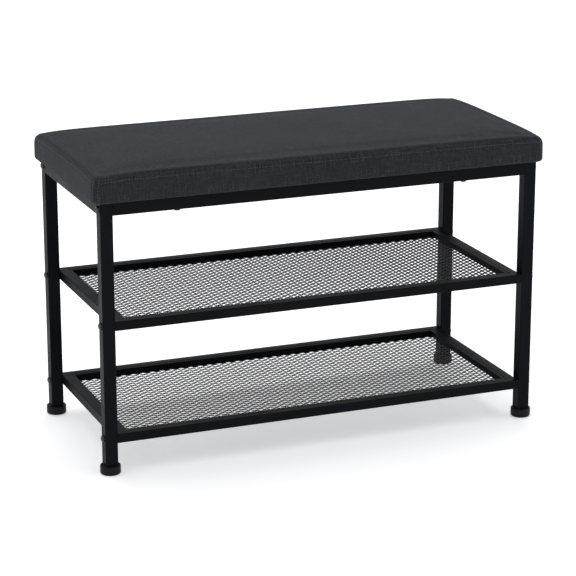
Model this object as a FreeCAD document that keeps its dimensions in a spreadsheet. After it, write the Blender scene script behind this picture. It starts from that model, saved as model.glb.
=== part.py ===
import FreeCAD, Part
import math
import os

import Sketcher

# Entryway bench: a square-tube steel frame with two expanded-metal shoe shelves, an
# upholstered seat bolted on from below and four screw-in levelling feet.
# Millimetres. X runs along the bench, -Y is the front, +Z is up, and the origin is
# on the floor under the middle of the bench.

os.makedirs("parts", exist_ok=True)

DIMENSIONS = (
    ("frame_length", 690, "over the legs, along X"),
    ("frame_depth", 300, "over the legs, along Y"),
    ("tube_size", 19, "side of the leg and top rail tube"),
    ("tube_wall", 1.5, "wall of the leg and top rail tube"),
    ("tube_round", 1.2, "outer edge radius of all the tube"),
    ("leg_bottom", 14, "floor to the cut end of a leg"),
    ("leg_top", 409, "floor to the top of the legs and top rails"),
    ("shelf_tube", 14, "side of the shelf frame tube"),
    ("shelf_wall", 1.2, "wall of the shelf frame tube"),
    ("lower_shelf", 48, "floor to the underside of the lower shelf frame"),
    ("upper_shelf", 219, "floor to the underside of the upper shelf frame"),
    ("rim_width", 5, "width of the flat bar round the mesh"),
    ("rim_height", 10, "height of the flat bar round the mesh"),
    ("rim_step", 0.5, "top of the shelf tube down to the top of the flat bar"),
    ("mesh_sheet", 1.6, "thickness of the expanded metal over its strands"),
    ("mesh_long", 16, "long way of one diamond, along X"),
    ("mesh_short", 10.8, "short way of one diamond, along Y"),
    ("mesh_strand", 2, "width of one strand"),
    ("bolt_size", 6, "thread diameter of the frame and seat bolts"),
    ("bolt_hole", 6.6, "clearance hole for a bolt"),
    ("bolt_head", 10.5, "diameter of a button head"),
    ("bolt_dome", 3.3, "height of a button head"),
    ("bolt_round", 2.6, "rounding of a button head"),
    ("frame_bolt", 25, "length of a frame bolt under its head"),
    ("seat_bolt", 30, "length of a seat bolt under its head"),
    ("key_size", 4, "hexagon socket across its flats"),
    ("key_depth", 2, "depth of the hexagon socket"),
    ("end_nut", 4, "thickness of the nut plate in a top rail's end"),
    ("rivet_body", 9, "body diameter of a rivet nut"),
    ("rivet_bulge", 10.6, "diameter of the bulge behind the wall"),
    ("rivet_bulge_length", 2.8, "length of the bulge"),
    ("rivet_length", 11, "length of a rivet nut"),
    ("glide_diameter", 30.5, "diameter of a foot"),
    ("glide_height", 13.7, "height of a foot"),
    ("glide_floor", 4, "solid plastic under the stud"),
    ("glide_round", 3, "rounding of the foot's lower edge"),
    ("glide_break", 1.5, "rounding of the foot's upper edge"),
    ("stud_size", 8, "thread diameter of a foot's stud"),
    ("stud_length", 34, "length of a foot's stud"),
    ("stud_chamfer", 0.8, "chamfer on the stud's end"),
    ("insert_height", 14, "height of the threaded insert in a leg"),
    ("running_gap", 0.05, "radial clearance of the stud in its insert"),
    ("seat_length", 714, "length of the seat over its cover"),
    ("seat_depth", 316, "depth of the seat over its cover"),
    ("seat_height", 45, "height of the seat over its cover"),
    ("seat_corner", 14, "radius of the seat's upright corners"),
    ("seat_edge", 10, "radius of the seat's top edge"),
    ("soft_gap", 0.3, "clearance kept round a soft piece"),
    ("cover_cloth", 1.5, "thickness of the cover's fabric"),
    ("hem_width", 40, "cover turned under the seat"),
    ("board_sheet", 12, "thickness of the plywood seat board"),
    ("bolt_spacing", 454, "distance between the seat bolts of one rail"),
    ("tee_flange", 19, "flange diameter of a tee nut"),
    ("tee_plate", 1.2, "flange thickness of a tee nut"),
    ("tee_barrel", 8, "barrel diameter of a tee nut"),
    ("tee_length", 9, "barrel length of a tee nut"),
    ("lining_sheet", 0.6, "thickness of the underside cloth"),
    ("lining_margin", 2, "underside cloth short of the rails"),
    ("staple_wire", 0.8, "thickness of a staple's wire"),
    ("staple_crown", 10, "width of a staple"),
    ("staple_leg", 8, "length of a staple's legs"),
    ("staple_inset", 8, "staples in from the edge of the underside cloth"),
)

doc = FreeCAD.newDocument("EntrywayBench")
sheet = doc.addObject("Spreadsheet::Sheet", "dims")
for row, (alias, value, meaning) in enumerate(DIMENSIONS, start=1):
    sheet.set(f"A{row}", meaning)
    sheet.set(f"B{row}", str(value))
    sheet.setAlias(f"B{row}", alias)
doc.recompute()

# Expressions that several pieces share.
LEG_X = "(dims.frame_length - dims.tube_size) / 2"
LEG_Y = "(dims.frame_depth - dims.tube_size) / 2"
BOLT_ROWS = "dims.frame_depth - dims.tube_size"
LEG_LENGTH = "dims.leg_top - dims.leg_bottom"
RAIL_Z = "dims.leg_top - dims.tube_size / 2"
TUBE_BORE = "dims.tube_size - 2 * dims.tube_wall"
SPAN_X = "dims.frame_length - 2 * dims.tube_size"
SPAN_Y = "dims.frame_depth - 2 * dims.tube_size"
SEAT_UNDERSIDE = "dims.leg_top + dims.soft_gap"
BOARD_BOTTOM = "dims.leg_top + 2 * dims.soft_gap + dims.cover_cloth"
BOARD_TOP = f"{BOARD_BOTTOM} + dims.board_sheet"
PAD_LENGTH = "dims.seat_length - 2 * (dims.cover_cloth + dims.soft_gap)"
PAD_DEPTH = "dims.seat_depth - 2 * (dims.cover_cloth + dims.soft_gap)"
STUD_BOTTOM = "dims.glide_floor"

subparts = []


def keep(feature, label):
    """Name a finished sub-part and put it on the list to be written."""
    feature.Label = label
    subparts.append(feature)
    return feature


def place(feature, x="0", y="0", z="0", turn=0.0, axis=(0, 0, 1)):
    """Turn a feature, then bind its position to expressions."""
    rotation = FreeCAD.Rotation(FreeCAD.Vector(*axis), turn)
    feature.Placement = FreeCAD.Placement(FreeCAD.Vector(), rotation)
    feature.setExpression("Placement.Base.x", x)
    feature.setExpression("Placement.Base.y", y)
    feature.setExpression("Placement.Base.z", z)


def new_body(name):
    return doc.addObject("PartDesign::Body", name)


def new_sketch(body, role, lift=None):
    """A sketch on one of the body's origin planes, lifted off it by an expression."""
    plane = next(item for item in body.Origin.OriginFeatures if item.Role == role)
    sketch = body.newObject("Sketcher::SketchObject", "Sketch")
    sketch.AttachmentSupport = [(plane, "")]
    sketch.MapMode = "FlatFace"
    if lift:
        sketch.setExpression("AttachmentOffset.Base.z", lift)
    return sketch


def bind(sketch, constraint, text):
    """Add a dimension to a sketch and bind it to an expression."""
    index = sketch.addConstraint(constraint)
    sketch.setExpression(f"Constraints[{index}]", text)


def closed_lines(sketch, points):
    """Join the points with lines, the last to the first, and return the first line's number."""
    vectors = [FreeCAD.Vector(x, y, 0) for x, y in points]
    first = sketch.GeometryCount
    count = len(vectors)
    for index in range(count):
        sketch.addGeometry(Part.LineSegment(vectors[index], vectors[(index + 1) % count]))
    for index in range(count):
        following = first + (index + 1) % count
        sketch.addConstraint(Sketcher.Constraint("Coincident", first + index, 2, following, 1))
    return first


def rectangle(sketch, width, height):
    """A rectangle centred on the sketch's origin."""
    first = closed_lines(sketch, ((-5, -3), (5, -3), (5, 3), (-5, 3)))
    for index, kind in enumerate(("Horizontal", "Vertical", "Horizontal", "Vertical")):
        sketch.addConstraint(Sketcher.Constraint(kind, first + index))
    sketch.addConstraint(Sketcher.Constraint("Symmetric", first, 1, first + 2, 1, -1, 1))
    bind(sketch, Sketcher.Constraint("DistanceX", first, 1, first, 2, 10), width)
    bind(sketch, Sketcher.Constraint("DistanceY", first + 1, 1, first + 1, 2, 6), height)


def mitred_outline(sketch, length, width):
    """A trapezium whose long side faces -Y and whose ends are cut at 45 degrees."""
    first = closed_lines(sketch, ((-30, -3), (30, -3), (24, 3), (-24, 3)))
    sketch.addConstraint(Sketcher.Constraint("Symmetric", first, 1, first, 2, -2))
    sketch.addConstraint(Sketcher.Constraint("Symmetric", first + 2, 1, first + 2, 2, -2))
    bind(sketch, Sketcher.Constraint("DistanceX", first, 1, first, 2, 60), length)
    bind(sketch, Sketcher.Constraint("DistanceX", first + 2, 2, first + 2, 1, 48),
         f"{length} - 2 * {width}")
    bind(sketch, Sketcher.Constraint("DistanceY", first, 1, first + 2, 2, 6), width)
    bind(sketch, Sketcher.Constraint("DistanceY", first, 1, -1, 1, 3), f"{width} / 2")


def hexagon(sketch, across_flats):
    """A regular hexagon centred on the sketch's origin, two corners on the X axis."""
    corners = [(math.cos(math.radians(60 * step)), math.sin(math.radians(60 * step)))
               for step in range(6)]
    first = closed_lines(sketch, corners)
    circle = sketch.addGeometry(Part.Circle(FreeCAD.Vector(), FreeCAD.Vector(0, 0, 1), 1), True)
    sketch.addConstraint(Sketcher.Constraint("Coincident", circle, 3, -1, 1))
    for index in range(6):
        sketch.addConstraint(Sketcher.Constraint("PointOnObject", first + index, 1, circle))
    for index in range(1, 6):
        sketch.addConstraint(Sketcher.Constraint("Equal", first, first + index))
    sketch.addConstraint(Sketcher.Constraint("PointOnObject", first, 1, -1))
    bind(sketch, Sketcher.Constraint("Radius", circle, 1), f"{across_flats} / sqrt(3)")


def centre_circle(sketch, diameter):
    """A circle on the sketch's origin."""
    circle = sketch.addGeometry(Part.Circle(FreeCAD.Vector(), FreeCAD.Vector(0, 0, 1), 3))
    sketch.addConstraint(Sketcher.Constraint("Coincident", circle, 3, -1, 1))
    bind(sketch, Sketcher.Constraint("Diameter", circle, 6), diameter)


def circle_up(sketch, diameter, height):
    """A circle on the sketch's upright axis, a height above the origin."""
    centre = FreeCAD.Vector(0, 20, 0)
    circle = sketch.addGeometry(Part.Circle(centre, FreeCAD.Vector(0, 0, 1), 3))
    sketch.addConstraint(Sketcher.Constraint("PointOnObject", circle, 3, -2))
    bind(sketch, Sketcher.Constraint("DistanceY", -1, 1, circle, 3, 20), height)
    bind(sketch, Sketcher.Constraint("Diameter", circle, 6), diameter)


def circle_pair(sketch, diameter, spacing):
    """Two circles a spacing apart along the sketch's X, either side of the origin."""
    normal = FreeCAD.Vector(0, 0, 1)
    left, right = (sketch.addGeometry(Part.Circle(FreeCAD.Vector(x, 0, 0), normal, 3))
                   for x in (-40, 40))
    sketch.addConstraint(Sketcher.Constraint("Symmetric", left, 3, right, 3, -1, 1))
    sketch.addConstraint(Sketcher.Constraint("PointOnObject", left, 3, -1))
    bind(sketch, Sketcher.Constraint("DistanceX", left, 3, right, 3, 80), spacing)
    for circle in (left, right):
        bind(sketch, Sketcher.Constraint("Diameter", circle, 6), diameter)


def circle_four(sketch, diameter, spacing_x, spacing_y):
    """Four circles at the corners of a rectangle centred on the sketch's origin."""
    normal = FreeCAD.Vector(0, 0, 1)
    circles = [sketch.addGeometry(Part.Circle(FreeCAD.Vector(x, y, 0), normal, 3))
               for x, y in ((-40, -20), (40, -20), (40, 20), (-40, 20))]
    first, second, third, fourth = circles
    sketch.addConstraint(Sketcher.Constraint("Symmetric", first, 3, second, 3, -2))
    sketch.addConstraint(Sketcher.Constraint("Symmetric", first, 3, fourth, 3, -1))
    sketch.addConstraint(Sketcher.Constraint("Symmetric", first, 3, third, 3, -1, 1))
    bind(sketch, Sketcher.Constraint("DistanceX", first, 3, second, 3, 80), spacing_x)
    bind(sketch, Sketcher.Constraint("DistanceY", first, 3, fourth, 3, 40), spacing_y)
    for circle in circles:
        bind(sketch, Sketcher.Constraint("Diameter", circle, 6), diameter)


def pad(body, sketch, length, both_ways=False, down=False):
    """Pad a sketch by an expression."""
    doc.recompute()
    feature = body.newObject("PartDesign::Pad", "Pad")
    feature.Profile = sketch
    feature.Midplane = both_ways
    feature.Reversed = down
    feature.setExpression("Length", length)
    doc.recompute()
    return feature


def pocket(body, sketch, depth=None, both_ways=False, flip=False):
    """Pocket a sketch, right through when no depth is given, and see that it cuts."""
    doc.recompute()
    before = body.Shape.Volume
    feature = body.newObject("PartDesign::Pocket", "Pocket")
    feature.Profile = sketch
    feature.Midplane = both_ways
    feature.Reversed = flip
    if depth is None:
        feature.Type = "ThroughAll"
    else:
        feature.setExpression("Length", depth)
    doc.recompute()
    if body.Shape.Volume > before - 0.01:
        raise RuntimeError(f"{body.Name}: a pocket cuts nothing")


def edges_of(feature, wanted):
    """Names of the edges whose bounding boxes pass a test."""
    return [f"Edge{number}" for number, edge in enumerate(feature.Shape.Edges, start=1)
            if wanted(edge.BoundBox)]


def dress(body, kind, wanted, size):
    """Fillet or chamfer the tip's edges that pass a test."""
    base = body.Tip
    feature = body.newObject(f"PartDesign::{kind}", kind)
    feature.Base = (base, edges_of(base, wanted))
    feature.setExpression("Radius" if kind == "Fillet" else "Size", size)
    doc.recompute()


def is_upright(box):
    return box.ZLength > 1 and box.XLength < 0.01 and box.YLength < 0.01


def is_longer_than(length):
    """A test for edges longer than a length."""
    return lambda box: box.DiagonalLength > length


def at_height(height):
    """A test for edges that lie flat at a height."""
    return lambda box: abs(box.ZMin - height) < 0.01 and abs(box.ZMax - height) < 0.01


def group(label, source, places):
    """One node of equal separate solids: links to a source body, held in a compound."""
    links = []
    for x, y, z, turn, axis in places:
        link = doc.addObject("App::Link", f"{label}_place")
        link.LinkedObject = source
        place(link, x, y, z, turn, axis)
        links.append(link)
    compound = doc.addObject("Part::Compound", label)
    compound.Links = links
    doc.recompute()
    return keep(compound, label)


CORNERS = (("front_left", "-", "-"), ("front_right", "+", "-"),
           ("rear_left", "-", "+"), ("rear_right", "+", "+"))


# Frame tubes ---------------------------------------------------------------

def make_tube(label, role, length, both_ways=True):
    """Square tube of the leg size with rounded outer edges, standing on an origin plane."""
    body = new_body(label)
    outline = new_sketch(body, role)
    rectangle(outline, "dims.tube_size", "dims.tube_size")
    pad(body, outline, length, both_ways)
    dress(body, "Fillet", is_longer_than(100), "dims.tube_round")
    bore = new_sketch(body, role)
    rectangle(bore, TUBE_BORE, TUBE_BORE)
    pocket(body, bore, both_ways=True)
    return body


def make_leg(label, side_x, side_y):
    """Leg tube with a cross hole for each of its three frame bolts."""
    body = make_tube(label, "XY_Plane", LEG_LENGTH, both_ways=False)
    holes = new_sketch(body, "YZ_Plane")
    for height in ("dims.lower_shelf + dims.shelf_tube / 2",
                   "dims.upper_shelf + dims.shelf_tube / 2", RAIL_Z):
        circle_up(holes, "dims.bolt_hole", f"{height} - dims.leg_bottom")
    pocket(body, holes, both_ways=True)
    place(body, f"{side_x}{LEG_X}", f"{side_y}{LEG_Y}", "dims.leg_bottom")
    return keep(body, label)


def make_long_rail(label, side_y):
    """Front or rear top rail, with cross holes for the seat bolts."""
    body = make_tube(label, "YZ_Plane", SPAN_X)
    holes = new_sketch(body, "XY_Plane")
    circle_pair(holes, "dims.bolt_hole", "dims.bolt_spacing")
    pocket(body, holes, both_ways=True)
    place(body, "0", f"{side_y}{LEG_Y}", RAIL_Z)
    return keep(body, label)


def make_side_rail(label, side_x):
    """Top rail welded between a front and a rear leg."""
    body = make_tube(label, "XZ_Plane", SPAN_Y)
    place(body, f"{side_x}{LEG_X}", "0", RAIL_Z)
    return keep(body, label)


def make_shelf_tube(label, length, turn, x, y, z, with_rivets):
    """Mitred shelf tube, modelled with its outer face to -Y and then turned into place."""
    body = new_body(label)
    outline = new_sketch(body, "XY_Plane")
    mitred_outline(outline, length, "dims.shelf_tube")
    pad(body, outline, "dims.shelf_tube", both_ways=True)
    dress(body, "Fillet", is_longer_than(100), "dims.tube_round")
    bore = new_sketch(body, "YZ_Plane")
    rectangle(bore, "dims.shelf_tube - 2 * dims.shelf_wall", "dims.shelf_tube - 2 * dims.shelf_wall")
    pocket(body, bore, both_ways=True)
    if with_rivets:
        holes = new_sketch(body, "XZ_Plane")
        circle_pair(holes, "dims.rivet_body", BOLT_ROWS)
        pocket(body, holes, flip=True)
    place(body, x, y, z, turn)
    return keep(body, label)


def make_shelf_frame(level):
    """The four mitred tubes of a shelf."""
    height = f"dims.{level}_shelf + dims.shelf_tube / 2"
    end_x = f"({SPAN_X} - dims.shelf_tube) / 2"
    edge_y = "(dims.frame_depth - dims.shelf_tube) / 2"
    name = f"{level}_shelf"
    make_shelf_tube(f"{name}_front", f"({SPAN_X})", 0, "0", f"-{edge_y}", height, False)
    make_shelf_tube(f"{name}_rear", f"({SPAN_X})", 180, "0", edge_y, height, False)
    make_shelf_tube(f"{name}_left", "dims.frame_depth", -90, f"-{end_x}", "0", height, True)
    make_shelf_tube(f"{name}_right", "dims.frame_depth", 90, end_x, "0", height, True)


def make_rim_bar(label, size_x, size_y, middle_x, middle_y, bottom):
    """One flat bar of the rim that the mesh is welded under."""
    bar = doc.addObject("Part::Box", label)
    bar.setExpression("Length", size_x)
    bar.setExpression("Width", size_y)
    bar.setExpression("Height", "dims.rim_height")
    place(bar, f"{middle_x} - ({size_x}) / 2", f"{middle_y} - ({size_y}) / 2", bottom)
    return keep(bar, label)


def make_rim(level):
    """The four flat bars inside a shelf frame."""
    inner_x = f"({SPAN_X} - 2 * dims.shelf_tube)"
    inner_y = "(dims.frame_depth - 2 * dims.shelf_tube)"
    bottom = f"dims.{level}_shelf + dims.shelf_tube - dims.rim_step - dims.rim_height"
    middle_x = f"({inner_x} - dims.rim_width) / 2"
    middle_y = f"({inner_y} - dims.rim_width) / 2"
    side_length = f"{inner_y} - 2 * dims.rim_width"
    name = f"{level}_rim"
    make_rim_bar(f"{name}_front", inner_x, "dims.rim_width", "0", f"-{middle_y}", bottom)
    make_rim_bar(f"{name}_rear", inner_x, "dims.rim_width", "0", middle_y, bottom)
    make_rim_bar(f"{name}_left", "dims.rim_width", side_length, f"-{middle_x}", "0", bottom)
    make_rim_bar(f"{name}_right", "dims.rim_width", side_length, middle_x, "0", bottom)


class Diamonds:
    """Staggered rows of diamond openings, centred on the origin of a plain sheet."""

    def __init__(self):
        self.size_x = sheet.frame_length - 2 * sheet.tube_size - 2 * sheet.shelf_tube
        self.size_y = sheet.frame_depth - 2 * sheet.shelf_tube
        # A strand of this width beside a diamond's slanted side narrows the opening both ways.
        slope = math.atan2(sheet.mesh_short, sheet.mesh_long)
        self.half_x = sheet.mesh_long / 2 - sheet.mesh_strand / (2 * math.sin(slope))
        self.half_y = sheet.mesh_short / 2 - sheet.mesh_strand / (2 * math.cos(slope))
        # Whole diamonds that fit, with the plain edge under the rim left over.
        self.columns = math.floor((self.size_x - sheet.rim_width) / sheet.mesh_long)
        self.last_row = math.floor((self.size_y - sheet.rim_width) / sheet.mesh_short) - 1

    def row_y(self, row):
        return row * sheet.mesh_short / 2

    def centres(self, row):
        """X of each opening in a row: every other row is shifted by half a diamond."""
        count = self.columns - row % 2
        return [(column - (count - 1) / 2) * sheet.mesh_long for column in range(count)]

    def zigzag(self, row, side):
        """The sheet's edge along a row's middle line, dipping round each opening towards a side."""
        level = self.row_y(row)
        points = [(-self.size_x / 2, level)]
        for middle in self.centres(row):
            points += [(middle - self.half_x, level), (middle, level + side * self.half_y),
                       (middle + self.half_x, level)]
        return points + [(self.size_x / 2, level)]

    def bands(self):
        """The sheet cut along every row's middle line: zigzag bands and two plain edges."""
        rows = range(-self.last_row, self.last_row + 1)
        edge_x, edge_y = self.size_x / 2, self.size_y / 2
        lower_edge = [(-edge_x, -edge_y), (edge_x, -edge_y)]
        upper_edge = [(-edge_x, edge_y), (edge_x, edge_y)]
        lowers = [lower_edge] + [self.zigzag(row, 1) for row in rows]
        uppers = [self.zigzag(row, -1) for row in rows] + [upper_edge]
        return [lower + upper[::-1] for lower, upper in zip(lowers, uppers)]

    def openings(self):
        """Every opening's four corners."""
        for row in range(-self.last_row, self.last_row + 1):
            level = self.row_y(row)
            for middle in self.centres(row):
                yield ((middle - self.half_x, level), (middle, level - self.half_y),
                       (middle + self.half_x, level), (middle, level + self.half_y))

    def edge_points(self):
        """The outer edge, with a point wherever a row's middle line meets it."""
        levels = [self.row_y(row) for row in range(-self.last_row, self.last_row + 1)]
        edge_x, edge_y = self.size_x / 2, self.size_y / 2
        left = [(-edge_x, level) for level in reversed(levels)]
        right = [(edge_x, level) for level in levels]
        return [(-edge_x, -edge_y), (edge_x, -edge_y), *right,
                (edge_x, edge_y), (-edge_x, edge_y), *left]


def flat_face(points, z):
    corners = [FreeCAD.Vector(x, y, z) for x, y in points]
    return Part.Face(Part.makePolygon(corners + corners[:1]))


def walls(points, height):
    """Upright faces under the sides of a closed outline."""
    faces = []
    for (x1, y1), (x2, y2) in zip(points, points[1:] + points[:1]):
        corners = [FreeCAD.Vector(x1, y1, 0), FreeCAD.Vector(x2, y2, 0),
                   FreeCAD.Vector(x2, y2, height), FreeCAD.Vector(x1, y1, height)]
        faces.append(Part.Face(Part.makePolygon(corners + corners[:1])))
    return faces


def expanded_metal():
    """One sheet with all its diamond openings, sewn from its faces into a single solid."""
    diamonds = Diamonds()
    faces = [flat_face(band, z) for band in diamonds.bands() for z in (0, sheet.mesh_sheet)]
    for opening in diamonds.openings():
        faces += walls(list(opening), sheet.mesh_sheet)
    faces += walls(diamonds.edge_points(), sheet.mesh_sheet)
    skin = Part.makeCompound(faces)
    skin.sewShape()
    solid = Part.makeSolid(skin.Shells[0])
    if solid.Volume < 0:
        solid.reverse()
    return solid


def make_mesh(level, panel):
    """A shelf's expanded-metal panel, welded up under its rim."""
    mesh = doc.addObject("Part::Feature", f"{level}_mesh")
    mesh.Shape = panel
    place(mesh, z=f"dims.{level}_shelf + dims.shelf_tube - dims.rim_step - dims.rim_height"
                  " - dims.mesh_sheet")
    return keep(mesh, f"{level}_mesh")


# Fasteners -----------------------------------------------------------------

def make_bolt(name, length):
    """Button-head bolt: its head stands on Z = 0 and its shank hangs below."""
    body = new_body(name)
    head = new_sketch(body, "XY_Plane")
    centre_circle(head, "dims.bolt_head")
    pad(body, head, "dims.bolt_dome")
    dress(body, "Fillet", at_height(sheet.bolt_dome), "dims.bolt_round")
    shank = new_sketch(body, "XY_Plane")
    centre_circle(shank, "dims.bolt_size")
    pad(body, shank, length, down=True)
    socket = new_sketch(body, "XY_Plane", "dims.bolt_dome")
    hexagon(socket, "dims.key_size")
    pocket(body, socket, "dims.key_depth")
    return body


def make_end_nut():
    """Square nut plate that closes the end of a top rail, its face on Z = 0."""
    body = new_body("end_nut_source")
    outline = new_sketch(body, "XY_Plane")
    rectangle(outline, TUBE_BORE, TUBE_BORE)
    centre_circle(outline, "dims.bolt_size")
    pad(body, outline, "dims.end_nut", down=True)
    return body


def make_rivet_nut():
    """Rivet nut set in a tube wall: its face on Z = 0, its bulge behind the wall."""
    body = new_body("rivet_nut_source")
    barrel = new_sketch(body, "XY_Plane")
    centre_circle(barrel, "dims.rivet_body")
    pad(body, barrel, "dims.rivet_length", down=True)
    bulge = new_sketch(body, "XY_Plane", "-dims.shelf_wall")
    centre_circle(bulge, "dims.rivet_bulge")
    pad(body, bulge, "dims.rivet_bulge_length", down=True)
    thread = new_sketch(body, "XY_Plane")
    centre_circle(thread, "dims.bolt_size")
    pocket(body, thread)
    return body


def make_tee_nut():
    """Tee nut: its flange stands on Z = 0 and its barrel hangs below."""
    body = new_body("tee_nut_source")
    flange = new_sketch(body, "XY_Plane")
    centre_circle(flange, "dims.tee_flange")
    pad(body, flange, "dims.tee_plate")
    barrel = new_sketch(body, "XY_Plane")
    centre_circle(barrel, "dims.tee_barrel")
    pad(body, barrel, "dims.tee_length", down=True)
    thread = new_sketch(body, "XY_Plane")
    centre_circle(thread, "dims.bolt_size")
    pocket(body, thread, both_ways=True)
    return body


def make_staple():
    """Upholstery staple: crown below Z = 0, legs above, its width along X."""
    body = new_body("staple_source")
    outline = new_sketch(body, "XZ_Plane")
    half = sheet.staple_crown / 2
    wire = sheet.staple_wire
    leg = sheet.staple_leg
    first = closed_lines(outline, ((-half, -wire), (half, -wire), (half, leg), (half - wire, leg),
                                   (half - wire, 0), (wire - half, 0), (wire - half, leg),
                                   (-half, leg)))
    for index in range(1, 8):
        kind = "Vertical" if index % 2 else "Horizontal"
        outline.addConstraint(Sketcher.Constraint(kind, first + index))
    outline.addConstraint(Sketcher.Constraint("Symmetric", first, 1, first, 2, -2))
    outline.addConstraint(Sketcher.Constraint("PointOnObject", first + 4, 1, -1))
    outline.addConstraint(Sketcher.Constraint("Equal", first + 2, first + 6))
    outline.addConstraint(Sketcher.Constraint("Equal", first + 3, first + 5))
    bind(outline, Sketcher.Constraint("DistanceX", first, 1, first, 2, 2 * half),
         "dims.staple_crown")
    bind(outline, Sketcher.Constraint("DistanceX", first + 2, 2, first + 2, 1, wire),
         "dims.staple_wire")
    bind(outline, Sketcher.Constraint("DistanceY", first, 1, first + 4, 1, wire),
         "dims.staple_wire")
    bind(outline, Sketcher.Constraint("DistanceY", first + 3, 2, first + 3, 1, leg),
         "dims.staple_leg")
    pad(body, outline, "dims.staple_wire", both_ways=True)
    return body


def frame_fastener_places(height, out_x):
    """Both ends of the bench, at each leg's centre line, local +Z turned to face outwards."""
    across = (0, 1, 0)
    return [(f"{side_x}({out_x})", f"{side_y}{LEG_Y}", height, 90 if side_x == "+" else -90, across)
            for _, side_x, side_y in CORNERS]


def seat_fastener_places(height, turn):
    """Above or below the seat bolts' holes in the long rails."""
    return [(f"{side_x}dims.bolt_spacing / 2", f"{side_y}{LEG_Y}", height, turn, (1, 0, 0))
            for _, side_x, side_y in CORNERS]


def make_fasteners():
    """Every bolt, nut and tee nut, as groups of equal solids."""
    frame_bolt = make_bolt("frame_bolt_source", "dims.frame_bolt")
    seat_bolt = make_bolt("seat_bolt_source", "dims.seat_bolt")
    rivet_nut = make_rivet_nut()
    leg_face = "dims.frame_length / 2"
    inner_face = f"({SPAN_X}) / 2"
    group("top_rail_bolts", frame_bolt, frame_fastener_places(RAIL_Z, leg_face))
    group("rail_end_nuts", make_end_nut(), frame_fastener_places(RAIL_Z, inner_face))
    for level in ("upper", "lower"):
        height = f"dims.{level}_shelf + dims.shelf_tube / 2"
        group(f"{level}_shelf_bolts", frame_bolt, frame_fastener_places(height, leg_face))
        group(f"{level}_rivet_nuts", rivet_nut, frame_fastener_places(height, inner_face))
    group("seat_bolts", seat_bolt,
          seat_fastener_places("dims.leg_top - dims.tube_size", 180))
    group("seat_tee_nuts", make_tee_nut(), seat_fastener_places(BOARD_TOP, 0))


# Feet ----------------------------------------------------------------------

def make_insert(label, side_x, side_y):
    """Threaded plug pressed into the bottom of a leg."""
    body = new_body(label)
    outline = new_sketch(body, "XY_Plane")
    rectangle(outline, TUBE_BORE, TUBE_BORE)
    centre_circle(outline, "dims.stud_size + 2 * dims.running_gap")
    pad(body, outline, "dims.insert_height")
    place(body, f"{side_x}{LEG_X}", f"{side_y}{LEG_Y}", "dims.leg_bottom")
    return keep(body, label)


def make_glide(label, side_x, side_y):
    """Round plastic foot with a blind hole for its stud."""
    body = new_body(label)
    disc = new_sketch(body, "XY_Plane")
    centre_circle(disc, "dims.glide_diameter")
    pad(body, disc, "dims.glide_height")
    dress(body, "Fillet", at_height(0), "dims.glide_round")
    dress(body, "Fillet", at_height(sheet.glide_height), "dims.glide_break")
    bore = new_sketch(body, "XY_Plane", "dims.glide_height")
    centre_circle(bore, "dims.stud_size")
    pocket(body, bore, "dims.glide_height - dims.glide_floor")
    place(body, f"{side_x}{LEG_X}", f"{side_y}{LEG_Y}", "0")
    return keep(body, label)


def make_stud(label, side_x, side_y):
    """Threaded stud moulded into a foot."""
    body = new_body(label)
    outline = new_sketch(body, "XY_Plane")
    centre_circle(outline, "dims.stud_size")
    pad(body, outline, "dims.stud_length")
    dress(body, "Chamfer", at_height(sheet.stud_length), "dims.stud_chamfer")
    place(body, f"{side_x}{LEG_X}", f"{side_y}{LEG_Y}", STUD_BOTTOM)
    return keep(body, label)


# Seat ----------------------------------------------------------------------

def make_seat_block(name, length, depth, height, corner, edge=None):
    """A block with rounded upright corners and, when asked, a rounded top edge."""
    body = new_body(name)
    outline = new_sketch(body, "XY_Plane")
    rectangle(outline, length, depth)
    top = pad(body, outline, height).Shape.BoundBox.ZMax
    dress(body, "Fillet", is_upright, corner)
    if edge:
        dress(body, "Fillet", at_height(top), edge)
    return body


def make_seat_board():
    """Plywood board, drilled for the tee nuts."""
    body = make_seat_block("seat_board", PAD_LENGTH, PAD_DEPTH, "dims.board_sheet",
                           "dims.seat_corner - dims.cover_cloth - dims.soft_gap")
    holes = new_sketch(body, "XY_Plane")
    circle_four(holes, "dims.tee_barrel", "dims.bolt_spacing", BOLT_ROWS)
    pocket(body, holes, both_ways=True)
    place(body, z=BOARD_BOTTOM)
    return keep(body, "seat_board")


def make_seat_foam():
    """Foam slab glued on the board, relieved over the tee nuts' flanges."""
    shrink = "dims.cover_cloth - dims.soft_gap"
    height = "dims.seat_height - 2 * dims.cover_cloth - 2 * dims.soft_gap - dims.board_sheet"
    body = make_seat_block("seat_foam", PAD_LENGTH, PAD_DEPTH, height,
                           f"dims.seat_corner - {shrink}", f"dims.seat_edge - {shrink}")
    recesses = new_sketch(body, "XY_Plane")
    circle_four(recesses, "dims.tee_flange + 2 * dims.soft_gap", "dims.bolt_spacing", BOLT_ROWS)
    pocket(body, recesses, "dims.tee_plate + dims.soft_gap", flip=True)
    place(body, z=BOARD_TOP)
    return keep(body, "seat_foam")


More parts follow.
